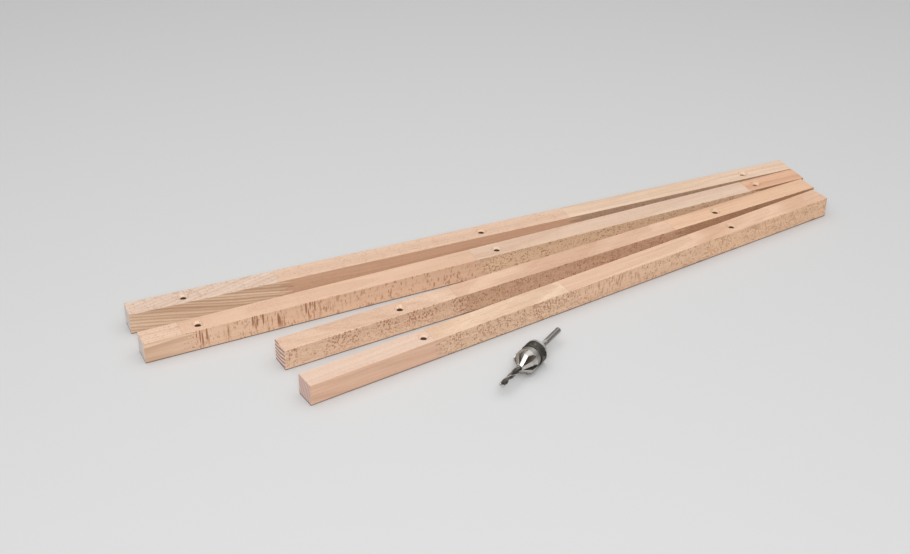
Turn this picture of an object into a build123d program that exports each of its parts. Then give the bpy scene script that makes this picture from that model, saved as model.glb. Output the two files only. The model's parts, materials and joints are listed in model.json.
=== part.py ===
from build123d import *

import os
from math import ceil, cos, radians, sin

# A knock-down set of four square beech bars and the drill that bores their screw holes.
# Two long bars and two short ones lie fanned on a flat surface, their right ends together.
# Every bar is glued up from staves that meet in finger joints. The tool in front of them is
# a twist drill with a slip-on countersink, held by two grub screws.
# Millimetres. The origin is the middle hole of the rear long bar, on the surface the set
# lies on. +X runs along that bar and +Z is up.

# ---------------------------------------------------------------- driving dimensions
section = 16.0  # width and height of every bar
long_length = 536.0
short_length = 453.0
edge_round = 0.4  # eased long edges

# screw holes, bored from the top and countersunk
hole_radius = 2.0
sink_radius = 4.0
sink_angle = 90.0
long_end_to_hole = 40.0  # and one more hole at mid length
short_end_to_hole = 90.5

# finger joints: the zigzag shows on the front and back faces
finger_length = 10.0
finger_pitch = 4.0
finger_tip = 0.5  # blunt end of a finger

# each bar's finger joints, as shares of its length from the left end
rear_long_joints = (0.2105, 0.640)
front_long_joints = (0.060, 0.472, 0.9165)
rear_short_joints = (0.304, 0.717)
front_short_joints = (0.221, 0.467, 0.728)

# the fan: each bar's turn from the rear bar, and where its right back corner lies on the
# bar behind it, as a step in from that bar's right end and a gap in front of its face
front_long_turn, front_long_inset, front_long_gap = 2.32, 0.1, 0.6
rear_short_turn, rear_short_inset, rear_short_gap = 6.28, 2.8, 0.4
front_short_turn, front_short_inset, front_short_gap = 9.52, 3.2, 2.3

# twist drill
drill_radius = 2.0
drill_length = 77.0
flute_length = 63.0
flute_lead = 28.0  # length of one turn of the flutes
flute_radius = 1.15
flute_reach = 1.75  # from the drill's axis to the middle of a flute
flute_steps = 36  # cross sections that the flutes are lofted through
point_length = 1.2
tail_chamfer = 0.5

# slip-on countersink, measured along the drill from its point
cutter_start = 23.7
cutter_nose_radius = 2.75
body_radius = 8.2  # cutting rim and clamp ring, so that the tool lies level on both
cutter_rim = 29.2
cutter_end = 35.0
hub_radius = 7.35
ring_start = 40.0
ring_width = 8.2
ring_chamfer = 0.8
sleeve_radius = 5.2
bore_clearance = 0.05
sleeve_clearance = 0.05

gash_count = 7
gash_width = 2.4
gash_turn = 3.0  # first cutting edge, measured from straight up towards the front
gash_floor = 1.6  # how far the gash's floor stands out from the nose at mid length

# grub screws
screw_radius = 1.5
screw_length = 5.0
screw_clearance = 0.05
tip_clearance = 0.05
tip_chamfer = 0.5
key_radius = 0.85  # corners of the hexagon socket
key_depth = 1.5
screw_turn = 73.0  # front screw, measured like gash_turn; the other is opposite

# where the tool lies in front of the front short bar
tool_along = -47.4  # its tail, from that bar's middle
tool_clear = 24.9  # its tail, from that bar's front face
tool_turn = 24.8  # its axis, from that bar's

cut_margin = 5.0  # how far a cutting shape runs past the piece that it cuts

os.makedirs("parts", exist_ok=True)


# ---------------------------------------------------------------- places
def turned_plane(origin, turn):
    """A level plane at origin whose X is turned from the rear bar's by turn degrees."""
    return Plane(origin=origin, x_dir=(cos(radians(turn)), sin(radians(turn)), 0))


def next_in_fan(behind, behind_length, length, turn, inset, gap):
    """The plane of a bar whose right back corner lies beside the right end of the one behind."""
    corner = behind.from_local_coords(Vector(behind_length / 2 - inset, -section / 2 - gap, 0))
    level = turned_plane(corner, turn)
    return turned_plane(level.from_local_coords(Vector(-length / 2, -section / 2, 0)), turn)


rear_long_plane = turned_plane((0, 0, 0), 0)
front_long_plane = next_in_fan(
    rear_long_plane, long_length, long_length, front_long_turn, front_long_inset, front_long_gap
)
rear_short_plane = next_in_fan(
    front_long_plane, long_length, short_length, rear_short_turn, rear_short_inset, rear_short_gap
)
front_short_plane = next_in_fan(
    rear_short_plane, short_length, short_length, front_short_turn, front_short_inset, front_short_gap
)

long_holes = (-long_length / 2 + long_end_to_hole, 0, long_length / 2 - long_end_to_hole)
short_holes = (-short_length / 2 + short_end_to_hole, short_length / 2 - short_end_to_hole)

bars = {
    "rear_long_bar": (rear_long_plane, long_length, long_holes, rear_long_joints),
    "front_long_bar": (front_long_plane, long_length, long_holes, front_long_joints),
    "rear_short_bar": (rear_short_plane, short_length, short_holes, rear_short_joints),
    "front_short_bar": (front_short_plane, short_length, short_holes, front_short_joints),
}


# ---------------------------------------------------------------- bars
def whole_bar(plane, length, holes):
    """A bar in one piece: square, its long edges eased, its screw holes bored."""
    with BuildPart() as bar:
        with BuildSketch(plane):
            Rectangle(length, section)
        extrude(amount=section)
        fillet(bar.edges().filter_by(lambda edge: edge.length > length / 2), radius=edge_round)
        top = Plane(plane.origin + Vector(0, 0, section), x_dir=plane.x_dir)
        with Locations(top):
            with Locations(*[(x, 0) for x in holes]):
                CounterSinkHole(hole_radius, sink_radius, counter_sink_angle=sink_angle)
    return bar.part


def finger_line(middle):
    """The zigzag of a finger joint, from under the bar to over it, with blunt finger tips."""
    points = []
    for step in range(-1, ceil(2 * section / finger_pitch) + 2):
        reach = finger_length / 2 if step % 2 else -finger_length / 2
        height = step * finger_pitch / 2
        points.append((middle + reach, height - finger_tip / 2))
        points.append((middle + reach, height + finger_tip / 2))
    return points


def write_staves(name, plane, length, holes, joints):
    """Cuts a bar along its finger joints and writes its staves, numbered from the left."""
    bar = whole_bar(plane, length, holes)
    side = Plane(plane.origin, x_dir=plane.x_dir, z_dir=-plane.y_dir)
    low, high = finger_line(0)[0][1], finger_line(0)[-1][1]
    left_end = -length / 2 - cut_margin
    right_end = length / 2 + cut_margin
    lines = [[(left_end, low), (left_end, high)]]
    lines += [finger_line((share - 0.5) * length) for share in joints]
    lines += [[(right_end, low), (right_end, high)]]
    for number, (left, right) in enumerate(zip(lines, lines[1:]), start=1):
        with BuildPart() as stave:
            add(bar)
            with BuildSketch(side):
                with BuildLine():
                    Polyline(*left, *reversed(right), close=True)
                make_face()
            extrude(amount=section, both=True, mode=Mode.INTERSECT)
        stave.part.label = f"{name}_stave_{number}"
        export_step(stave.part, f"parts/{stave.part.label}.step")


for bar_name, (bar_plane, bar_length, bar_holes, bar_joints) in bars.items():
    write_staves(bar_name, bar_plane, bar_length, bar_holes, bar_joints)


# ---------------------------------------------------------------- the tool's place
tool_tail = front_short_plane.from_local_coords(
    Vector(tool_along, -section / 2 - tool_clear, body_radius)
)
tool_yaw = front_short_turn + tool_turn
tool_dir = Vector(cos(radians(tool_yaw)), sin(radians(tool_yaw)), 0)
tool_front = Vector(sin(radians(tool_yaw)), -cos(radians(tool_yaw)), 0)
tool_up = Vector(0, 0, 1)
tool_point = tool_tail - tool_dir * drill_length
tool_axis = Axis(tool_point, tool_dir)


def outward(turn):
    """The direction out from the tool's axis, turn degrees from straight up to the front."""
    return tool_up * cos(radians(turn)) + tool_front * sin(radians(turn))


def lengthwise_plane(turn):
    """The plane through the tool's axis with X along it from the point, and Y outward."""
    return Plane(tool_point, x_dir=tool_dir, z_dir=tool_dir.cross(outward(turn)))


def cross_plane(along):
    """The plane across the tool's axis at a distance from the point."""
    return Plane(tool_point + tool_dir * along, x_dir=tool_front, z_dir=tool_dir)


def fluted_plane(along):
    """The plane across the drill at a distance from the point, turned with its flutes."""
    turn = 360 * along / flute_lead
    return Plane(tool_point + tool_dir * along, x_dir=outward(turn), z_dir=tool_dir)


def screw_plane(turn, from_axis):
    """The plane across a grub screw's axis, facing outward, at a distance from the tool's axis."""
    middle = tool_point + tool_dir * (ring_start + ring_width / 2)
    return Plane(middle + outward(turn) * from_axis, x_dir=tool_dir, z_dir=outward(turn))


screw_turns = {"front": screw_turn, "rear": screw_turn + 180}


# ---------------------------------------------------------------- twist drill
with BuildPart() as twist_drill:
    for step in range(flute_steps + 1):
        with BuildSketch(fluted_plane(flute_length * step / flute_steps)):
            Circle(drill_radius)
            with Locations((0, flute_reach), (0, -flute_reach)):
                Circle(flute_radius, mode=Mode.SUBTRACT)
    loft()
    with BuildSketch(cross_plane(flute_length)):
        Circle(drill_radius)
    extrude(amount=drill_length - flute_length)
    with BuildSketch(lengthwise_plane(0)):
        with BuildLine():
            Polyline(
                (0, 0),
                (point_length, drill_radius),
                (point_length, drill_radius + cut_margin),
                (drill_length - tail_chamfer, drill_radius + cut_margin),
                (drill_length - tail_chamfer, drill_radius),
                (drill_length, drill_radius - tail_chamfer),
                (drill_length, 0),
                close=True,
            )
        make_face()
    revolve(axis=tool_axis, mode=Mode.INTERSECT)
twist_drill.part.label = "twist_drill"
export_step(twist_drill.part, "parts/twist_drill.step")

# ---------------------------------------------------------------- slip-on countersink
head_bore = drill_radius + bore_clearance
ring_end = ring_start + ring_width

with BuildPart() as countersink_head:
    with BuildSketch(lengthwise_plane(0)):
        with BuildLine():
            Polyline(
                (cutter_start, head_bore),
                (cutter_start, cutter_nose_radius),
                (cutter_rim, body_radius),
                (cutter_end, body_radius),
                (cutter_end, hub_radius),
                (ring_start, hub_radius),
                (ring_start, sleeve_radius),
                (ring_end, sleeve_radius),
                (ring_end, head_bore),
                close=True,
            )
        make_face()
    revolve(axis=tool_axis)
    for gash in range(gash_count):
        with BuildSketch(lengthwise_plane(gash_turn + gash * 360 / gash_count)):
            with BuildLine():
                middle = ((cutter_start + cutter_end) / 2, cutter_nose_radius + gash_floor)
                ThreePointArc((cutter_start, cutter_nose_radius), middle, (cutter_end, body_radius))
                Polyline(
                    (cutter_end, body_radius),
                    (cutter_end, body_radius + cut_margin),
                    (cutter_start, body_radius + cut_margin),
                    (cutter_start, cutter_nose_radius),
                )
            make_face()
        extrude(amount=-gash_width, mode=Mode.SUBTRACT)
    for turn in screw_turns.values():
        with BuildSketch(screw_plane(turn, 0)):
            Circle(screw_radius + screw_clearance)
        extrude(amount=body_radius, mode=Mode.SUBTRACT)
countersink_head.part.label = "countersink_head"
export_step(countersink_head.part, "parts/countersink_head.step")

with BuildPart() as clamp_ring:
    with BuildSketch(lengthwise_plane(0)):
        with BuildLine():
            Polyline(
                (ring_start, sleeve_radius + sleeve_clearance),
                (ring_start, body_radius),
                (ring_end - ring_chamfer, body_radius),
                (ring_end, body_radius - ring_chamfer),
                (ring_end, sleeve_radius + sleeve_clearance),
                close=True,
            )
        make_face()
    revolve(axis=tool_axis)
    for turn in screw_turns.values():
        with BuildSketch(screw_plane(turn, 0)):
            Circle(screw_radius + screw_clearance)
        extrude(amount=body_radius + cut_margin, mode=Mode.SUBTRACT)
clamp_ring.part.label = "clamp_ring"
export_step(clamp_ring.part, "parts/clamp_ring.step")

# ---------------------------------------------------------------- grub screws
screw_start = drill_radius + tip_clearance

for side_name, turn in screw_turns.items():
    with BuildPart() as grub_screw:
        with BuildSketch(screw_plane(turn, screw_start)):
            Circle(screw_radius)
        extrude(amount=screw_length)
        rims = grub_screw.edges().filter_by(GeomType.CIRCLE)
        chamfer(rims.sort_by(Axis(tool_point, outward(turn)))[0], length=tip_chamfer)
        with BuildSketch(screw_plane(turn, screw_start + screw_length)):
            RegularPolygon(key_radius, 6)
        extrude(amount=-key_depth, mode=Mode.SUBTRACT)
    grub_screw.part.label = f"grub_screw_{side_name}"
    export_step(grub_screw.part, f"parts/{grub_screw.part.label}.step")
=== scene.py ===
import json
import math
from dataclasses import dataclass

import bpy
import numpy as np
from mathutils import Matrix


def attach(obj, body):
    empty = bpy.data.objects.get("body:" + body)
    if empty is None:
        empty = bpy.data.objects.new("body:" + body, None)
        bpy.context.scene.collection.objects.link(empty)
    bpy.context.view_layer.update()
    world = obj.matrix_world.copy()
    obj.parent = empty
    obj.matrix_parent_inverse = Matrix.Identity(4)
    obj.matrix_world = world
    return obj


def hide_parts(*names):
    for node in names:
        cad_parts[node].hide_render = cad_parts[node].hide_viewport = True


bl_info = {
    "name": "Knock-down Beech Bar Set",
    "version": (1, 0, 0),
    "blender": (4, 5, 0),
    "location": "View3D > Sidebar > Bar Set",
    "description": "Finishes four finger-jointed beech bars and makes their drill and countersink",
    "category": "Add Mesh",
}

# Lengths along the drill are in millimetres from its point, as a toolmaker gives them.
# Everything that reaches a mesh is in metres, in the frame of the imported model.
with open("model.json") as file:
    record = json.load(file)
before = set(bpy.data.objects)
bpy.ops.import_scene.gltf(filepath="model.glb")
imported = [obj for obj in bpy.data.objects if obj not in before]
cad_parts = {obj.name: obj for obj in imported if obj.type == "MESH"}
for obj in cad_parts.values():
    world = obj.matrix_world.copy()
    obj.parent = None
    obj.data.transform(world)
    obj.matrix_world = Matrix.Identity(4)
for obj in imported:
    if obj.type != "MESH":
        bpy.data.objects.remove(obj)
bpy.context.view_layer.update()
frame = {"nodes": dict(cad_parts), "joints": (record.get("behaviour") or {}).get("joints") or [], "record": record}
MM = 0.001
UP = np.array([0.0, 0.0, 1.0])
FULL_TURN = 2 * math.pi
BAR_MIDDLE = 8.0  # height of a bar's axis above the surface, in millimetres
SEED_STEP = -613.0  # millimetres along the tree from one stave's wood to the next stave's
LIGHTLY_SHADED_HOLE = 2  # a long bar's third hole, counted from 0, whose wall gets only a little painted shade


# ---------------------------------------------------------------- places read from the frame
def cad_points(node):
    """The vertices of a CAD node, as rows of X, Y and Z."""
    mesh = frame["nodes"][node].data
    points = np.empty(len(mesh.vertices) * 3)
    mesh.vertices.foreach_get("co", points)
    return points.reshape(-1, 3)


def mounts_of(prefix):
    """The record's mounts whose names start with prefix, in order."""
    return [m for m in frame["record"]["mounts"] if m["name"].startswith(prefix)]


@dataclass
class BarPlace:
    """Where a bar lies: its middle on the surface, direction, turn from +X, holes and half length."""

    middle: np.ndarray
    along: np.ndarray
    turn: float
    holes: list
    half: float = 0.0

    def reach(self, node):
        """How far a stave starts and ends from the bar's middle, in millimetres."""
        distance = (cad_points(node) - self.middle) @ self.along / MM
        return distance.min(), distance.max()


def bar_place(body):
    """Reads a bar's place from its first and last screw holes."""
    holes = [np.array(m["pos_m"]) for m in mounts_of(body + "_screw_hole")]
    along = holes[-1] - holes[0]
    along /= np.linalg.norm(along)
    place = BarPlace((holes[0] + holes[-1]) / 2, along, math.atan2(along[1], along[0]), holes)
    place.half = -place.reach(body + "_stave_1")[0]
    return place


def tool_place():
    """The drill's point, its direction, and the level direction that faces away from the bars."""
    shank = mounts_of("drill_shank")[0]
    along = np.array(shank["axis"])
    start = np.array(shank["pos_m"])
    point = start + along * ((cad_points("twist_drill") - start) @ along).min()
    return point, along, np.cross(along, UP)


TOOL_POINT, TOOL_ALONG, TOOL_FRONT = tool_place()
TOOL_TURN = math.atan2(TOOL_ALONG[1], TOOL_ALONG[0])


def tool_span(node):
    """Where a piece of the tool starts and ends along the drill, in millimetres."""
    distance = (cad_points(node) - TOOL_POINT) @ TOOL_ALONG / MM
    return distance.min(), distance.max()


def widest(node):
    """A tool piece's largest distance from the drill's axis, in millimetres."""
    away = cad_points(node) - TOOL_POINT
    away -= np.outer(away @ TOOL_ALONG, TOOL_ALONG)
    return np.linalg.norm(away, axis=1).max() / MM


def screw_turns():
    """The two grub screws' directions, in radians from straight up towards the front."""
    axes = [np.array(j["axis"]) for j in frame["joints"] if j["name"].startswith("grub_screw")]
    return [math.atan2(axis @ TOOL_FRONT, axis @ UP) for axis in axes]


# ---------------------------------------------------------------- settings
def size(name, default, description):
    """A length in millimetres that a user may change."""
    return bpy.props.FloatProperty(name=name, description=description, default=default, min=0.0)


def colour(name, default, description):
    return bpy.props.FloatVectorProperty(
        name=name, description=description, default=default, subtype="COLOR", size=3, min=0.0, max=1.0
    )


class BeechSettings(bpy.types.PropertyGroup):
    finger_length: size("Finger length", 10.0, "Length of a finger joint along the bar, in mm")
    finger_pitch: size("Finger pitch", 4.0, "Height of one finger and its gap, in mm")
    finger_tip: size("Finger tip", 0.5, "Blunt end of a finger, in mm")
    glue_line: size("Glue line", 0.12, "Width of the joint's glue line, in mm")
    glue_colour: colour("Glue", (0.19, 0.10, 0.055), "Colour of the glue line")
    ray_colour: colour("Rays", (0.34, 0.135, 0.060), "Colour of the ray flecks")
    late_colour: colour("Late wood", (0.42, 0.21, 0.11), "Colour of the growth rings' dark edges")
    fibre_tint: colour("Fibres", (1.0, 0.86, 0.72), "What the fibres' shade is multiplied by")
    end_late_colour: colour("End rings", (0.30, 0.16, 0.12), "Colour of the rings on sawn end grain")
    pit_colour: colour("Pits", (0.36, 0.22, 0.18), "Colour of the vessels on sawn end grain")
    spoke_colour: colour("Spokes", (0.86, 0.70, 0.62), "Colour of the rays on sawn end grain")
    sunk_colour: colour("Countersinks", (0.90, 0.72, 0.55), "Colour of the freshly cut countersinks")
    # painted contact shadow: the height up to which the bars' lower edges are darkened as shade, in mm
    painted_contact_shadow: size("Grime", 1.1, "Height up to which the lower edges are soiled, in mm")
    hole_radius: size("Hole radius", 2.0, "Radius of the screw holes, in mm")
    sink_radius: size("Sink radius", 4.0, "Radius of the screw holes' countersinks, in mm")
    # painted shade: this dark colour is painted on the screw holes' walls, and along the lower edges as a painted
    # contact shadow
    painted_shade_colour: colour("Burnt wood", (0.075, 0.04, 0.022), "Colour of a screw hole's drilled wall")


class DrillSettings(bpy.types.PropertyGroup):
    flute_length: size("Flute length", 63.0, "Length of the flutes from the point, in mm")
    run_out: size("Run-out", 9.0, "Length over which the flutes run out, in mm")
    flute_lead: size("Lead", 28.0, "Length of one turn of the flutes, in mm")
    point_length: size("Point length", 1.2, "Height of the conical point, in mm")
    tail_chamfer: size("Tail chamfer", 0.5, "Chamfer at the shank's end, in mm")


class CountersinkSettings(bpy.types.PropertyGroup):
    nose_radius: size("Nose radius", 2.75, "Radius of the cutter's small end, in mm")
    bore_radius: size("Bore radius", 2.05, "Radius of the bore that the drill runs in, in mm")
    rim: size("Rim", 29.2, "Where the cone ends and the cutting land starts, in mm")
    land_end: size("Land end", 35.0, "Where the cutting land ends, in mm")
    hub_radius: size("Hub radius", 7.35, "Radius of the plain hub behind the land, in mm")
    sleeve_radius: size("Sleeve radius", 5.2, "Radius of the sleeve inside the clamp ring, in mm")
    ring_chamfer: size("Ring chamfer", 0.25, "Drop of the clamp ring's rear chamfer, in mm")
    chamfer_length: size("Chamfer length", 2.0, "Length of the clamp ring's rear chamfer, in mm")
    teeth: bpy.props.IntProperty(name="Teeth", description="Cutting edges", default=7, min=3)
    first_edge: bpy.props.FloatProperty(
        name="First edge",
        description="Turn of the first cutting edge from straight up",
        default=math.radians(3.0),
        subtype="ANGLE",
    )
    gash_angle: bpy.props.FloatProperty(
        name="Gash width",
        description="Turn that a gash takes up where it is widest",
        default=math.radians(29.0),
        subtype="ANGLE",
    )


class StageSettings(bpy.types.PropertyGroup):
    camera_place: bpy.props.FloatVectorProperty(
        name="Camera",
        description="Camera's place",
        default=(-0.4048, -0.9024, 0.6078),
        subtype="XYZ",
        unit="LENGTH",
    )
    camera_tilt: bpy.props.FloatProperty(
        name="Tilt",
        description="Camera's tilt up from straight down",
        default=math.radians(57.39),
        subtype="ANGLE",
    )
    camera_turn: bpy.props.FloatProperty(
        name="Turn",
        description="Camera's turn from +Y",
        default=math.radians(-23.03),
        subtype="ANGLE",
    )
    focal_length: bpy.props.FloatProperty(
        name="Focal length", description="Lens, on a 36 mm wide sensor", default=60.88, min=10.0
    )
    floor_colour: colour("Floor", (0.58, 0.58, 0.58), "Colour of the pale floor")
    sky: bpy.props.FloatProperty(
        name="Sky", description="Strength of the light all round", default=0.50, min=0.0
    )
    overhead: bpy.props.FloatProperty(
        name="Overhead", description="Power of the overhead softbox", default=7.2, min=0.0, unit="POWER"
    )
    front: bpy.props.FloatProperty(
        name="Front", description="Power of the softbox in front", default=14.0, min=0.0, unit="POWER"
    )


# ---------------------------------------------------------------- materials
class Number:
    """A number that varies over a surface; arithmetic on it adds Math nodes to its finish."""

    def __init__(self, finish, socket):
        self.finish = finish
        self.socket = socket

    def math(self, operation, first, *others):
        node = self.finish.node(
            "ShaderNodeMath", {"operation": operation}, dict(enumerate((first, *others)))
        )
        return Number(self.finish, node.outputs[0])

    def __add__(self, other):
        return self.math("ADD", self, other)

    def __sub__(self, other):
        return self.math("SUBTRACT", self, other)

    def __mul__(self, other):
        return self.math("MULTIPLY", self, other)

    def __truediv__(self, other):
        return self.math("DIVIDE", self, other)

    def __pow__(self, other):
        return self.math("POWER", self, other)

    def __radd__(self, other):
        return self.math("ADD", other, self)

    def __rsub__(self, other):
        return self.math("SUBTRACT", other, self)

    def __rmul__(self, other):
        return self.math("MULTIPLY", other, self)

    def __abs__(self):
        return self.math("ABSOLUTE", self)

    def root(self):
        return self.math("SQRT", self)

    def fraction(self):
        return self.math("FRACT", self)

    def above(self, level):
        return self.math("GREATER_THAN", self, level)

    def most(self, other):
        return self.math("MAXIMUM", self, other)

    def least(self, other):
        return self.math("MINIMUM", self, other)

    def ease(self, low, high):
        """Rises smoothly from 0 at low to 1 at high; low may be the larger."""
        node = self.finish.node(
            "ShaderNodeMapRange",
            {"interpolation_type": "SMOOTHSTEP"},
            {"Value": self, "From Min": low, "From Max": high},
        )
        return Number(self.finish, node.outputs[0])


class Finish:
    """A material or a world under construction, with one method for its nodes."""

    def __init__(self, name, kind="materials"):
        self.made = getattr(bpy.data, kind).new(name)
        self.made.use_nodes = True
        self.tree = self.made.node_tree
        self.tree.nodes.clear()
        self.coordinates = self.node("ShaderNodeTexCoord")

    def node(self, kind, settings=None, inputs=None):
        """Adds a node: its settings first, then a value or a link for each socket named."""
        made = self.tree.nodes.new(kind)
        for setting, value in (settings or {}).items():
            setattr(made, setting, value)
        for socket, value in (inputs or {}).items():
            if isinstance(value, Number):
                value = value.socket
            if isinstance(value, bpy.types.NodeSocket):
                self.tree.links.new(value, made.inputs[socket])
            else:
                made.inputs[socket].default_value = value
        return made

    def number(self, kind, settings=None, inputs=None, output=0):
        return Number(self, self.node(kind, settings, inputs).outputs[output])

    def place(self, source, location, turn, scale=1.0):
        """Coordinates measured from location, turned back by turn and divided by scale."""
        inputs = {"Vector": source, "Location": location, "Rotation": turn, "Scale": (scale,) * 3}
        return self.node("ShaderNodeMapping", {"vector_type": "TEXTURE"}, inputs).outputs[0]

    def vector(self, operation, first, second):
        return self.node("ShaderNodeVectorMath", {"operation": operation}, {0: first, 1: second}).outputs[0]

    def cells(self, source, sizes):
        """Coordinates in which a box of these sizes becomes a unit cube."""
        return self.vector("MULTIPLY", source, tuple(1 / length for length in sizes))

    def facing(self, direction):
        """How much the surface faces a direction: 1 straight at it, -1 straight away."""
        inputs = {0: self.coordinates.outputs["Normal"], 1: tuple(direction)}
        return self.number("ShaderNodeVectorMath", {"operation": "DOT_PRODUCT"}, inputs, output=1)

    def split(self, source):
        made = self.node("ShaderNodeSeparateXYZ", None, {0: source})
        return [Number(self, output) for output in made.outputs]

    def attribute(self, name):
        """A value that the mesh carries at each of its points."""
        return self.number("ShaderNodeAttribute", {"attribute_name": name}, output=2)

    def noise(self, source, detail=2.0):
        inputs = {"Vector": source, "Scale": 1.0, "Detail": detail}
        return self.number("ShaderNodeTexNoise", None, inputs)

    def noise_along(self, number, detail=1.0):
        inputs = {"W": number, "Scale": 1.0, "Detail": detail}
        return self.number("ShaderNodeTexNoise", {"noise_dimensions": "1D"}, inputs)

    def mix(self, factor, first, second, blend="MIX"):
        """A colour between first and second, or first blended with second by factor."""
        inputs = {0: factor, 6: opaque(first), 7: opaque(second)}
        return self.node("ShaderNodeMix", {"data_type": "RGBA", "blend_type": blend}, inputs).outputs[2]

    def finish(self, base, roughness, height, bump_distance, **constants):
        """Joins colour, roughness and a bump height to the shader and returns the material."""
        bump = self.node("ShaderNodeBump", None, {"Height": height, "Distance": bump_distance})
        inputs = {"Base Color": base, "Roughness": roughness, "Normal": bump.outputs[0]}
        inputs.update({name.replace("_", " "): value for name, value in constants.items()})
        shader = self.node("ShaderNodeBsdfPrincipled", None, inputs)
        self.node("ShaderNodeOutputMaterial", None, {0: shader.outputs[0]})
        return self.made


def opaque(value):
    """A plain colour with its alpha, or a socket as it is."""
    return value if isinstance(value, (bpy.types.NodeSocket, Number)) else (*value, 1.0)


@dataclass
class Stave:
    """How one stave was cut from the tree and how it looks."""

    flat: tuple  # colour of a face cut across the rays
    quarter: tuple  # colour of a face cut along the rays
    lean: float  # degrees from upright to the line from the pith, about the bar's length
    pith: float = 60.0  # millimetres from the pith to the stave
    ring: float = 3.0  # millimetres between growth rings
    rays: float = 0.5  # how strongly the small rays show
    figure: float = 0.0  # how strongly the broad rays show
    streaks: float = 0.35  # how much the wood darkens and lightens in bands
    late: float = 0.25  # how dark the rings' edges are
    slope: float = 0.0  # degrees that the grain rises along the bar
    sway: float = 3.0  # millimetres that the grain wanders round the tree
    fade: tuple = (900.0, 1000.0)  # where the broad rays fade out, from the bar's left end
    end: float = 0.35  # how strongly the rings show on end grain
    sawn: tuple = (0.80, 0.62, 0.54)  # colour of sawn end grain


# Every bar's staves from its left end, by how they look. The last stave of each bar that has
# another in front of it has a darker front, which stands for the shade in the narrow gap.
STAVES = {
    "rear_long_bar": (
        Stave(
            (0.86, 0.67, 0.49), (0.69, 0.55, 0.45),
            lean=80, pith=40, ring=1.9, rays=0.5, streaks=0.45, late=1.0, slope=9,
            sawn=(0.92, 0.82, 0.75),
        ),
        Stave((0.75, 0.47, 0.31), (0.70, 0.50, 0.37), lean=60, pith=90, ring=3.4, rays=0.5),
        Stave(
            (0.80, 0.62, 0.47), (0.53, 0.38, 0.27),
            lean=15, pith=120, ring=3.0, rays=0.8, figure=0.25,
        ),
    ),
    "front_long_bar": (
        Stave(
            (0.95, 0.70, 0.51), (0.75, 0.54, 0.41),
            lean=82, pith=35, ring=2.6, rays=0.4, streaks=0.4, late=0.8, sawn=(0.92, 0.80, 0.715),
        ),
        Stave(
            (0.73, 0.50, 0.36), (0.82, 0.55, 0.38),
            lean=1, pith=140, rays=0.7, figure=1.4, streaks=0.2, sway=1.2, fade=(105, 165),
        ),
        Stave(
            (0.73, 0.56, 0.44), (0.85, 0.62, 0.42),
            lean=20, pith=70, ring=3.6, rays=1.0, figure=0.2, streaks=0.3, slope=1,
        ),
        Stave((0.73, 0.44, 0.29), (0.49, 0.27, 0.17), lean=15, pith=90, ring=3.0, rays=0.5),
    ),
    "rear_short_bar": (
        Stave(
            (0.72, 0.52, 0.39), (0.83, 0.60, 0.43),
            lean=-24, pith=150, ring=2.9, rays=0.8, figure=0.9, slope=5, end=1.0,
            sawn=(0.88, 0.64, 0.53),
        ),
        Stave(
            (0.73, 0.50, 0.36), (0.69, 0.46, 0.31),
            lean=12, pith=100, ring=3.2, rays=1.1, figure=0.4, slope=4,
        ),
        Stave((0.78, 0.52, 0.35), (0.52, 0.32, 0.20), lean=15, pith=80, ring=3.0, rays=0.8),
    ),
    "front_short_bar": (
        Stave(
            (0.82, 0.53, 0.38), (0.71, 0.53, 0.42),
            lean=70, pith=110, ring=3.5, rays=0.2, streaks=0.3, sawn=(0.76, 0.53, 0.46),
        ),
        Stave(
            (0.80, 0.60, 0.44), (0.83, 0.58, 0.40),
            lean=18, pith=90, ring=2.8, rays=1.0, figure=0.8, slope=4,
        ),
        Stave((0.78, 0.55, 0.40), (0.84, 0.56, 0.38), lean=8, pith=120, ring=3.0, rays=0.8, figure=0.6),
        Stave(
            (0.81, 0.56, 0.40), (0.88, 0.58, 0.38),
            lean=16, pith=100, ring=3.0, rays=0.75, figure=0.5, slope=4,
        ),
    ),
}


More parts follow.
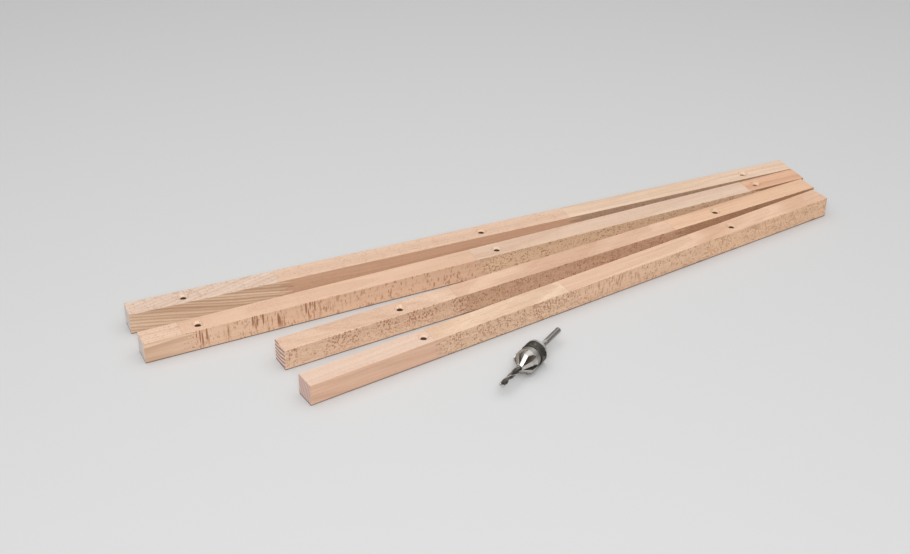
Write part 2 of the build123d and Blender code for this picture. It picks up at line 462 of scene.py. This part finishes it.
def beech(name, stave, place, joints, seed, settings):
    """Solid beech: growth rings round a pith, fibres, vessels and rays, and end grain.

    Distances are in millimetres. The wood's own coordinates are the distance along the
    grain, round the tree and out from its pith, so that each face of a stave shows the
    figure of its own cut: rings as stripes, arches or arcs, and rays as dashes or flecks.
    """
    finish = Finish(name)
    bar = finish.place(finish.coordinates.outputs["Object"], place.middle, (0, 0, place.turn), MM)
    turns = (math.radians(stave.lean), math.radians(stave.slope), 0)
    turned = finish.place(bar, (seed * SEED_STEP, 0, BAR_MIDDLE), turns)
    sway = finish.node("ShaderNodeTexNoise", None, {0: finish.cells(turned, (130, 28, 28)), "Scale": 1.0})
    sway = finish.vector("SUBTRACT", sway.outputs[1], (0.5, 0.5, 0.5))
    wood = finish.vector("ADD", turned, finish.vector("MULTIPLY", sway, (0, stave.sway, 9.0)))
    _, across, outward = finish.split(wood)

    # growth rings: the distance from the pith counted in ring widths
    rings = ((outward + stave.pith) ** 2 + across**2).root() / stave.ring
    phase = rings.fraction()
    late = phase.ease(0.35, 0.97) * phase.ease(1.0, 0.965)
    ringed = phase.ease(0.50, 0.68) * phase.ease(1.0, 0.88)
    bands = finish.noise_along(rings * 0.55, 2.0)

    # fibres and vessels, drawn out along the grain
    streaks = finish.noise(finish.cells(wood, (70, 1.7, 1.7)), 3.0)
    fibres = finish.noise(finish.cells(wood, (9, 0.28, 0.28)), 2.0)
    vessels = finish.noise(finish.cells(wood, (1.6, 0.11, 0.11)), 1.0).ease(0.60, 0.72)

    # rays: thin blades that stand along the grain and run out from the pith; a face shows
    # them broadly where it is cut along them, and as fine dashes where it is cut across
    lean = math.radians(stave.lean)
    tangent = math.cos(lean) * np.cross(UP, place.along) + math.sin(lean) * UP
    cut = abs(finish.facing(tangent)).ease(0.25, 0.85)
    patches = 0.35 + 0.65 * finish.noise(finish.cells(wood, (7, 6, 6)), 2.0).ease(0.38, 0.62)
    small = blades(finish, wood, (1.0, 0.35, 2.6), 0.26).most(blades(finish, wood, (1.7, 0.3, 5.5), 0.22))
    small = small * patches * (0.30 + 0.70 * cut)
    along, _, height = finish.split(bar)
    groups = finish.noise(finish.cells(bar, (13, 60, 60)), 2.0).ease(0.34, 0.54)
    groups = groups * (along + place.half).ease(stave.fade[1], stave.fade[0]) * height.ease(-4, 11)
    broad = blades(finish, wood, (1.5, 0.8, 16.0), 0.60) * groups * (0.15 + 0.85 * cut)
    rays = (small * stave.rays).most(broad * stave.figure)

    tone = finish.mix(cut, stave.flat, stave.quarter)
    calm = 1 - 0.6 * cut
    tone = finish.mix(bands.ease(0.30, 0.72) * calm * stave.streaks, tone, settings.late_colour)
    tone = finish.mix(streaks.ease(0.40, 0.78) * calm * (stave.streaks * 0.8), tone, settings.late_colour)
    tone = finish.mix(late * calm * (stave.late * 0.6), tone, settings.late_colour)
    tone = finish.mix(fibres.ease(0.35, 0.75) * 0.22, tone, settings.fibre_tint, "MULTIPLY")
    tone = finish.mix(vessels * 0.35, tone, settings.late_colour)
    tone = finish.mix(rays.least(1.0) * 0.95, tone, settings.ray_colour)

    # end grain: the same rings cut across, darker and pitted with vessels
    sawn = abs(finish.facing(place.along)).ease(0.75, 0.95)
    pits = finish.noise(finish.cells(wood, (0.6, 0.22, 0.22)), 2.0).ease(0.45, 0.70)
    spokes = finish.noise(finish.cells(wood, (3, 0.35, 9.0)), 1.0).ease(0.5, 0.7)
    end = finish.mix(ringed * stave.end, stave.sawn, settings.end_late_colour)
    end = finish.mix(pits * 0.2, end, settings.pit_colour)
    end = finish.mix(spokes * 0.1, end, settings.spoke_colour)
    base = finish.mix(sawn, tone, end)

    glue = glue_lines(finish, bar, joints, settings)
    if glue:
        base = finish.mix(glue * 0.6, base, settings.glue_colour)
    for number, hole in enumerate(place.holes):
        x, y, _ = finish.split(finish.place(finish.coordinates.outputs["Object"], hole, (0, 0, 0), MM))
        away = (x**2 + y**2).root()
        sunk = away.ease(settings.sink_radius, settings.sink_radius - 0.3)
        arris = sunk * away.ease(settings.sink_radius - 0.9, settings.sink_radius - 0.4)
        base = finish.mix(sunk * 0.2, base, settings.sunk_colour)
        base = finish.mix(arris * 0.10, base, settings.ray_colour)
        # painted shade inside each screw hole, weaker in the long bars' third hole
        hole_shade = away.ease(settings.hole_radius + 0.35, settings.hole_radius + 0.05)
        hole_shade_strength = 0.35 if number == LIGHTLY_SHADED_HOLE else 0.95
        base = finish.mix(hole_shade * hole_shade_strength, base, settings.painted_shade_colour)

    # painted contact shadow: the wood is darkened towards its lower edges, where shade falls at the floor
    painted_contact_shadow = height.ease(settings.painted_contact_shadow, 0.35)
    base = finish.mix(painted_contact_shadow * 0.95, base, settings.painted_shade_colour)

    roughness = 0.60 + 0.10 * fibres - 0.12 * rays + 0.15 * sawn
    relief = 0.5 * fibres - 0.8 * vessels - 0.1 * rays + 0.3 * late - 0.8 * pits * sawn
    return finish.finish(base, roughness, relief, 0.03 * MM, Specular_IOR_Level=0.6)


def blades(finish, wood, sizes, share):
    """Ray flecks: cells of these sizes in the wood, a share of them filled with a soft blade."""
    cells = finish.node(
        "ShaderNodeTexVoronoi", None, {"Vector": finish.cells(wood, sizes), "Scale": 1.0}
    )
    chance, _, _ = finish.split(cells.outputs["Color"])
    near = Number(finish, cells.outputs["Distance"]).ease(0.62, 0.30)
    return near * chance.ease(1 - share - 0.06, 1 - share + 0.06)


def glue_lines(finish, bar, joints, settings):
    """A thin line on the zigzag of each finger joint that the stave has, or None.

    The zigzag is a triangle wave of the height above the bar's underside, cut off at the
    fingers' blunt tips, and the line is where the distance along the bar is close to it.
    """
    along, _, height = finish.split(bar)
    wave = 1 - 4 * abs((height / settings.finger_pitch).fraction() - 0.5)
    steep = settings.finger_pitch / (settings.finger_pitch - 2 * settings.finger_tip)
    pushed = wave * steep
    zigzag = pushed.least(1.0).most(-1.0) * (settings.finger_length / 2)
    blunt = abs(pushed).above(1.0)
    slope = (settings.finger_pitch / 2 - settings.finger_tip) / settings.finger_length
    glue = None
    for middle in joints:
        away = abs(along - middle - zigzag) * (slope + (1 - slope) * blunt)
        line = away.ease(settings.glue_line, settings.glue_line / 4)
        glue = line if glue is None else glue.most(line)
    return glue


def tool_coordinates(finish):
    """Distance along the drill, distance from its axis and the coordinates themselves, in mm."""
    source = finish.coordinates.outputs["Object"]
    place = finish.place(source, TOOL_POINT, (0, 0, TOOL_TURN), MM)
    along, across, height = finish.split(place)
    return along, (across**2 + height**2).root(), place


def steel(name, dark, bright, shine, roughness, line_width, line_depth):
    """Turned or ground steel: fine lines round the axis, cloudy wear, bright where shine is 1.

    shine is a function that gives a number from 0 to 1 from the finish, the distance
    along the drill and the distance from its axis.
    """
    finish = Finish(name)
    along, away, place = tool_coordinates(finish)
    lines = finish.noise_along(along / line_width + away / line_width, 3.0)
    clouds = finish.noise(finish.cells(place, (3.0, 2.2, 2.2)), 3.0)
    worn = shine(finish, along, away)
    worn = (worn + 0.25 * clouds.ease(0.55, 0.75)).least(1.0)
    base = finish.mix(worn, dark, bright)
    base = finish.mix(lines.ease(0.35, 0.7) * 0.3, base, (0.55, 0.53, 0.50), "MULTIPLY")
    rough = roughness + 0.14 * clouds - 0.10 * worn + 0.08 * lines
    height = lines + 0.3 * clouds
    return finish.finish(base, rough, height, line_depth * MM, Metallic=1.0)


# ---------------------------------------------------------------- surfaces
def along_points(along, turn, radius):
    """Points at a distance along the drill, a turn from straight up and a radius, in metres."""
    out = np.cos(turn)[..., None] * UP + np.sin(turn)[..., None] * TOOL_FRONT
    return TOOL_POINT + MM * (along[..., None] * TOOL_ALONG + radius[..., None] * out)


def wrapped_quads(rows, columns, ring):
    """Quads over a grid closed round its columns, and over its rows too if ring is true."""
    row = np.arange(rows if ring else rows - 1)[:, None]
    column = np.arange(columns)[None, :]
    below = row * columns
    above = (row + 1) % rows * columns
    after = (column + 1) % columns
    corners = [below + column, above + column, above + after, below + after]
    return np.stack(corners, axis=-1).reshape(-1, 4)


def new_piece(name, points, ring, values=None, sharp=30.0):
    """A closed mesh over a grid of points: a ring both ways, or shut by a fan at each end."""
    rows, columns, _ = points.shape
    vertices = points.reshape(-1, 3)
    faces = wrapped_quads(rows, columns, ring).tolist()
    extra = np.zeros(0)
    if not ring:
        column = np.arange(columns)
        after = (column + 1) % columns
        first, last = len(vertices), len(vertices) + 1
        vertices = np.vstack([vertices, points[0].mean(0), points[-1].mean(0)])
        top = (rows - 1) * columns
        faces += np.stack([np.full(columns, first), column, after], axis=-1).tolist()
        faces += np.stack([np.full(columns, last), top + after, top + column], axis=-1).tolist()
        extra = np.zeros(2)
    mesh = bpy.data.meshes.new(name)
    mesh.from_pydata(vertices, [], faces)
    for key, field in (values or {}).items():
        attribute = mesh.attributes.new(key, "FLOAT", "POINT")
        attribute.data.foreach_set("value", np.concatenate([field.ravel(), extra]).astype(np.float32))
    mesh.polygons.foreach_set("use_smooth", np.ones(len(mesh.polygons), bool))
    mesh.set_sharp_from_angle(angle=math.radians(sharp))
    mesh.validate()
    piece = bpy.data.objects.new(name, mesh)
    bpy.context.scene.collection.objects.link(piece)
    return piece


def dense(profile, step):
    """A profile of (along, radius) corners with points no further apart than step."""
    corners = np.array(profile, float)
    runs = []
    for start, end in zip(corners, corners[1:]):
        count = max(1, math.ceil(np.linalg.norm(end - start) / step))
        runs.append(start + (end - start) * np.arange(count)[:, None] / count)
    return np.vstack([*runs, corners[-1:]])


def smooth_step(value, low, high):
    part = np.clip((value - low) / (high - low), 0, 1)
    return part * part * (3 - 2 * part)


def twist_drill_surface(settings):
    """The twist drill as a radius over distance along it and turn round it.

    Each of two flutes is a hollow whose radius grows with a power of the turn from its
    middle; next to it a narrow land stands at full radius, and behind that the body is
    ground a little lower. The pattern turns with the distance along the drill by the
    lead. A cone cuts the point and a chamfer the tail.
    """
    _, length = tool_span("twist_drill")
    full = widest("twist_drill")
    flute_half, land = math.radians(50), math.radians(15)
    web, relieved = 0.30, 0.93  # radii of the flutes' bottom and the ground body, as shares
    step, columns = 0.28, 160
    along = np.concatenate([
        np.linspace(0.04, settings.point_length, 14),
        np.arange(settings.point_length, settings.flute_length, step)[1:],
        np.linspace(settings.flute_length, length - settings.tail_chamfer, 24),
        np.linspace(length - settings.tail_chamfer, length, 5)[1:],
    ])[:, None]
    turn = np.linspace(0, FULL_TURN, columns, endpoint=False)[None, :]
    along, turn = np.broadcast_arrays(along, turn)
    local = (turn - FULL_TURN * along / settings.flute_lead) % math.pi
    lag = np.minimum(local, math.pi - local)
    hollow = web + (1 - web) * np.clip(lag / flute_half, 0, 1) ** 1.7
    behind = smooth_step(local, flute_half + land, flute_half + land + 0.12)
    behind *= smooth_step(math.pi - local, flute_half - 0.06, flute_half + 0.10)
    shape = np.where(lag < flute_half, hollow, 1 - (1 - relieved) * behind)
    depth = 1 - smooth_step(along, settings.flute_length - settings.run_out, settings.flute_length)
    radius = full * (1 - (1 - shape) * depth)
    radius = np.minimum(radius, full * along / settings.point_length)
    radius = np.minimum(radius, full + (length - settings.tail_chamfer - along).clip(max=0))
    on_land = (1 - behind) * (lag >= flute_half) * depth
    at_point = 1 - smooth_step(along, settings.point_length * 0.9, settings.point_length * 1.15)
    return along_points(along, turn, radius), {"shine": np.maximum(on_land * 0.8, at_point)}


def countersink_surface(settings):
    """The countersink head as a closed profile carried round the drill, its gashes sunk in.

    The profile runs from the nose up the cone, along the land and the hub, over the
    sleeve and back through the bore. Before each cutting edge a gash sinks the surface
    towards an arc from the nose to the land's end: steeply down at its heel, deepest at
    the edge's face, which stands square to the surface, and narrower where it is shallow.
    """
    start, end = tool_span("countersink_head")
    ring_start, ring_end = tool_span("clamp_ring")
    rim_radius = widest("countersink_head")
    outer = dense([
        (start, settings.bore_radius),
        (start, settings.nose_radius - 0.15),
        (start + 0.15, settings.nose_radius),
        (settings.rim, rim_radius - 0.1),
        (settings.rim + 0.15, rim_radius),
        (settings.land_end - 0.2, rim_radius),
        (settings.land_end, rim_radius - 0.2),
        (settings.land_end + 0.1, settings.hub_radius),
        (ring_start - 0.15, settings.hub_radius),
        (ring_start, settings.hub_radius - 0.15),
        (ring_start, settings.sleeve_radius),
        (end, settings.sleeve_radius),
        (end, settings.bore_radius),
    ], 0.14)
    bore = dense([(end, settings.bore_radius), (start, settings.bore_radius)], 1.0)[1:-1]
    profile = np.vstack([outer, bore])
    along, radius = profile[:, 0][:, None], profile[:, 1][:, None]

    heel_power, floor_power = 0.45, 1.9
    pitch = FULL_TURN / settings.teeth
    heel = np.linspace(0, 1, 14)
    face = np.linspace(1, 0, 8)[1:]
    land = np.linspace(0, 1, 9)[1:-1]
    sink = np.concatenate([np.sin(heel * math.pi / 2) ** heel_power, face, np.zeros(len(land))])
    lag = np.concatenate([1 - heel, np.zeros(len(face) + len(land))])
    lead = np.concatenate([np.zeros(len(heel) + len(face)), land])
    edge = settings.first_edge + pitch * np.repeat(np.arange(settings.teeth), len(sink))
    sink, lag, lead = (np.tile(part, settings.teeth)[None, :] for part in (sink, lag, lead))

    part = (along - start) / (settings.land_end - start)
    floor = settings.nose_radius + (rim_radius - settings.nose_radius) * part.clip(0, 1) ** floor_power
    is_cutter = (radius > settings.bore_radius + 0.05) & (along <= settings.land_end)
    depth = np.where(is_cutter, (radius - floor).clip(min=0), 0.0)
    width = settings.gash_angle * np.sqrt(depth / depth.max())
    next_heel = np.minimum(pitch - width, pitch)
    turn = edge[None, :] - lag * width + lead * next_heel
    relief = 0.03 * radius * lead * is_cutter
    hollow = radius - depth * sink - relief
    screw_recess = 1.9
    for screw in screw_turns():
        away = (turn - screw + math.pi) % FULL_TURN - math.pi
        reach = np.hypot(along - (ring_start + ring_end) / 2, away * settings.sleeve_radius)
        in_sleeve = (along > ring_start) & (hollow > settings.bore_radius + 0.05)
        recessed = in_sleeve & (reach < screw_recess)
        hollow = np.where(recessed, settings.bore_radius + 0.04, hollow)
    along = np.broadcast_to(along, turn.shape)
    gash = np.broadcast_to(sink * (depth > 0), turn.shape)
    return along_points(along, turn, hollow), {"gash": gash}


def clamp_ring_surface(settings):
    """The clamp ring as a closed profile carried round, with a round recess for each screw.

    Near a screw the grid's squares are drawn in to circles, fully at the recess and not
    at all at three times its radius, so that its rim is a true circle; inside the rim the
    surface drops to just above the ring's own bore.
    """
    start, end = tool_span("clamp_ring")
    outside = widest("clamp_ring")
    inside = settings.sleeve_radius + 0.05
    recess, spread = 1.55, 3.6  # radius of a screw's recess, and of the grid that is drawn in
    middle = (start + end) / 2
    lip = settings.chamfer_length
    rows_near = recess * np.array([-1, -0.999, -0.5, 0, 0.5, 0.999, 1])
    rows_out = middle + np.unique(np.concatenate([
        rows_near,
        np.linspace(start + 0.25 - middle, -recess, 14),
        np.linspace(recess, end - lip - middle, 12),
    ]))
    front = dense([(start, inside), (start, outside - 0.25), (start + 0.25, outside)], 0.25)[:-1]
    rear = dense([(end - lip, outside), (end, outside - settings.ring_chamfer), (end, inside)], 0.2)[1:]
    bore = dense([(end, inside), (start, inside)], 1.2)[1:-1]
    outer = np.stack([rows_out, np.full(len(rows_out), outside)], axis=1)
    profile = np.vstack([front, outer, rear, bore])
    along, radius = profile[:, 0][:, None], profile[:, 1][:, None]

    outer_near = np.linspace(recess, spread, 9)[1:]
    near = np.concatenate([rows_near, outer_near, -outer_near])
    screws = screw_turns()
    turns = np.concatenate([[screw + np.sort(near) / outside for screw in screws]]).ravel()
    plain = np.linspace(spread / outside, math.pi - spread / outside, 40)[1:-1]
    turns = np.concatenate([turns, *[screws[0] + side * plain for side in (1, -1)]])
    first = screws[0] - spread / outside
    turns = np.sort((turns - first) % FULL_TURN) + first
    along, turn, radius = np.broadcast_arrays(along, turns[None, :], radius)

    for screw in screws:
        lengthwise = along - middle
        round_way = ((turn - screw + math.pi) % FULL_TURN - math.pi) * outside
        square = np.maximum(abs(lengthwise), abs(round_way))
        circle = np.hypot(lengthwise, round_way).clip(min=1e-9)
        pull = ((spread - square) / (spread - recess)).clip(0, 1) * (radius >= outside - 1e-6)
        shrink = 1 + pull * (square / circle - 1)
        within = (square < recess * 0.9995) & (radius >= outside - 1e-6)
        along = middle + lengthwise * shrink
        turn = turn + round_way * (shrink - 1) / outside
        radius = np.where(within, inside + 0.03, radius)
    return along_points(along, turn, radius), {}


# ---------------------------------------------------------------- operators
def dress(node, material):
    """Gives a CAD node one material."""
    mesh = frame["nodes"][node].data
    mesh.materials.clear()
    mesh.materials.append(material)


def finish_piece(piece, material, body, node):
    """Dresses a new piece, lets it ride on its body and stand for its CAD node."""
    piece.data.materials.append(material)
    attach(piece, body)
    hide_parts(node)


class BARSET_OT_staves(bpy.types.Operator):
    """Give every stave its own beech"""

    bl_idname = "barset.staves"
    bl_label = "Finish Staves"

    def execute(self, context):
        settings = context.scene.barset_beech
        seed = 1
        for body, staves in STAVES.items():
            place = bar_place(body)
            nodes = frame["record"]["behaviour"]["bodies"][body]
            if len(nodes) != len(staves):
                raise RuntimeError(f"{body} has {len(nodes)} staves, but looks for {len(staves)}")
            for node, stave in zip(nodes, staves):
                low, high = place.reach(node)
                half = settings.finger_length / 2
                joints = [low + half] if node != nodes[0] else []
                joints += [high - half] if node != nodes[-1] else []
                dress(node, beech(f"beech_{node}", stave, place, joints, seed, settings))
                seed += 1
        return {"FINISHED"}


class BARSET_OT_drill(bpy.types.Operator):
    """Make the twist drill, with its flutes, lands and point"""

    bl_idname = "barset.drill"
    bl_label = "Make Twist Drill"

    def execute(self, context):
        points, values = twist_drill_surface(context.scene.barset_drill)
        piece = new_piece("drill_with_flutes", points, ring=False, values=values, sharp=40.0)
        shank_start, shank_shine = 60, 0.42

        def shine(finish, along, away):
            ground = finish.attribute("shine")
            return ground.most(shank_shine * along.ease(shank_start - 8, shank_start))

        material = steel(
            "dark_drill_steel", (0.15, 0.138, 0.122), (0.70, 0.68, 0.64), shine,
            roughness=0.25, line_width=0.09, line_depth=0.006,
        )
        finish_piece(piece, material, "drill", "twist_drill")
        return {"FINISHED"}


class BARSET_OT_countersink(bpy.types.Operator):
    """Make the countersink head and the clamp ring, and finish the grub screws"""

    bl_idname = "barset.countersink"
    bl_label = "Make Countersink"

    def execute(self, context):
        settings = context.scene.barset_countersink
        points, values = countersink_surface(settings)
        head = new_piece("countersink_cutter", points, ring=True, values=values, sharp=28.0)
        hub = settings.land_end

        def ground(finish, along, away):
            dull_hub = 1.0 - 0.5 * along.ease(hub, hub + 0.3)
            return dull_hub * (1.0 - finish.attribute("gash").ease(0.02, 0.3))

        bright = steel(
            "bright_ground_steel", (0.20, 0.165, 0.14), (0.70, 0.68, 0.64), ground,
            roughness=0.42, line_width=0.12, line_depth=0.008,
        )
        finish_piece(head, bright, "countersink", "countersink_head")

        points, values = clamp_ring_surface(settings)
        ring = new_piece("turned_clamp_ring", points, ring=True, values=values, sharp=28.0)
        _, ring_end = tool_span("clamp_ring")
        chamfer = ring_end - settings.chamfer_length
        # painted highlight: the clamp ring's rear chamfer is given the bright colour, standing for a catch-light
        # on its edge
        dark = steel(
            "ring_steel_with_painted_highlight", (0.10, 0.092, 0.08), (0.78, 0.76, 0.72),
            lambda finish, along, away: along.ease(chamfer - 0.05, chamfer + 0.1),
            roughness=0.44, line_width=0.22, line_depth=0.03,
        )
        finish_piece(ring, dark, "countersink", "clamp_ring")

        oiled = steel(
            "oiled_screw_steel", (0.20, 0.185, 0.165), (0.5, 0.48, 0.45),
            lambda finish, along, away: away.ease(6.6, 7.2),
            roughness=0.32, line_width=0.1, line_depth=0.01,
        )
        for node in ("grub_screw_front", "grub_screw_rear"):
            dress(node, oiled)
        return {"FINISHED"}


class BARSET_OT_stage(bpy.types.Operator):
    """Set up the pale floor, the soft light and the camera"""

    bl_idname = "barset.stage"
    bl_label = "Set Stage"

    def execute(self, context):
        settings = context.scene.barset_stage
        scene = context.scene
        scene.view_settings.view_transform = "Standard"
        self.floor(settings)
        self.lights(scene, settings)
        camera = bpy.data.cameras.new("camera")
        camera.lens = settings.focal_length
        camera.sensor_width = 36.0
        holder = bpy.data.objects.new("camera", camera)
        holder.location = settings.camera_place
        holder.rotation_euler = (settings.camera_tilt, 0, settings.camera_turn)
        scene.collection.objects.link(holder)
        scene.camera = holder
        return {"FINISHED"}

    def floor(self, settings):
        half = 4.0
        corners = [(-half, -half, 0), (half, -half, 0), (half, half, 0), (-half, half, 0)]
        mesh = bpy.data.meshes.new("floor")
        mesh.from_pydata(corners, [], [(0, 1, 2, 3)])
        finish = Finish("pale_floor")
        grain = finish.noise(finish.cells(finish.coordinates.outputs["Object"], (0.004,) * 3), 3.0)
        base = finish.mix(grain * 0.02, tuple(settings.floor_colour), (0.5, 0.5, 0.5))
        roughness = 0.7 + 0.1 * grain
        material = finish.finish(base, roughness, grain, 0.01 * MM, Specular_IOR_Level=0.2)
        mesh.materials.append(material)
        floor = bpy.data.objects.new("floor", mesh)
        bpy.context.scene.collection.objects.link(floor)

    def lights(self, scene, settings):
        """A sky that darkens towards the horizon, a softbox overhead and a smaller one in front."""
        finish = Finish("studio", "worlds")
        _, _, height = finish.split(finish.coordinates.outputs["Generated"])
        sky = (0.25 + 0.95 * height.ease(0.1, 0.8)) * settings.sky
        background = finish.node("ShaderNodeBackground", None, {"Color": (1, 1, 1, 1), "Strength": sky})
        finish.node("ShaderNodeOutputWorld", None, {0: background.outputs[0]})
        scene.world = finish.made
        self.area(scene, "overhead", settings.overhead, (1.8, 1.2), (-0.02, 0.0, 1.0), (0, 0, -18))
        self.area(scene, "front", settings.front, (0.9, 0.7), (-0.55, -1.25, 1.1), (50, 0, -24))

    def area(self, scene, name, power, sides, location, turns):
        light = bpy.data.lights.new(name, "AREA")
        light.energy = power
        light.shape = "RECTANGLE"
        light.size, light.size_y = sides
        holder = bpy.data.objects.new(name, light)
        holder.location = location
        holder.rotation_euler = [math.radians(turn) for turn in turns]
        scene.collection.objects.link(holder)


class BARSET_PT_panel(bpy.types.Panel):
    """Lists the set's steps and sizes"""

    bl_idname = "BARSET_PT_panel"
    bl_label = "Beech Bar Set"
    bl_space_type = "VIEW_3D"
    bl_region_type = "UI"
    bl_category = "Bar Set"

    def draw(self, context):
        for operator in OPERATORS:
            self.layout.operator(operator.bl_idname)
        for name, group in SETTINGS.items():
            box = self.layout.box()
            for prop in group.__annotations__:
                box.prop(getattr(context.scene, name), prop)


OPERATORS = (BARSET_OT_staves, BARSET_OT_drill, BARSET_OT_countersink, BARSET_OT_stage)
SETTINGS = {
    "barset_beech": BeechSettings,
    "barset_drill": DrillSettings,
    "barset_countersink": CountersinkSettings,
    "barset_stage": StageSettings,
}


def register():
    for group in SETTINGS.values():
        bpy.utils.register_class(group)
    for name, group in SETTINGS.items():
        setattr(bpy.types.Scene, name, bpy.props.PointerProperty(type=group))
    for shown in (*OPERATORS, BARSET_PT_panel):
        bpy.utils.register_class(shown)


def unregister():
    for shown in (BARSET_PT_panel, *reversed(OPERATORS)):
        bpy.utils.unregister_class(shown)
    for name, group in SETTINGS.items():
        delattr(bpy.types.Scene, name)
        bpy.utils.unregister_class(group)


def main():
    register()
    bpy.ops.barset.staves()
    bpy.ops.barset.drill()
    bpy.ops.barset.countersink()
    bpy.ops.barset.stage()


if __name__ == "__main__":
    main()
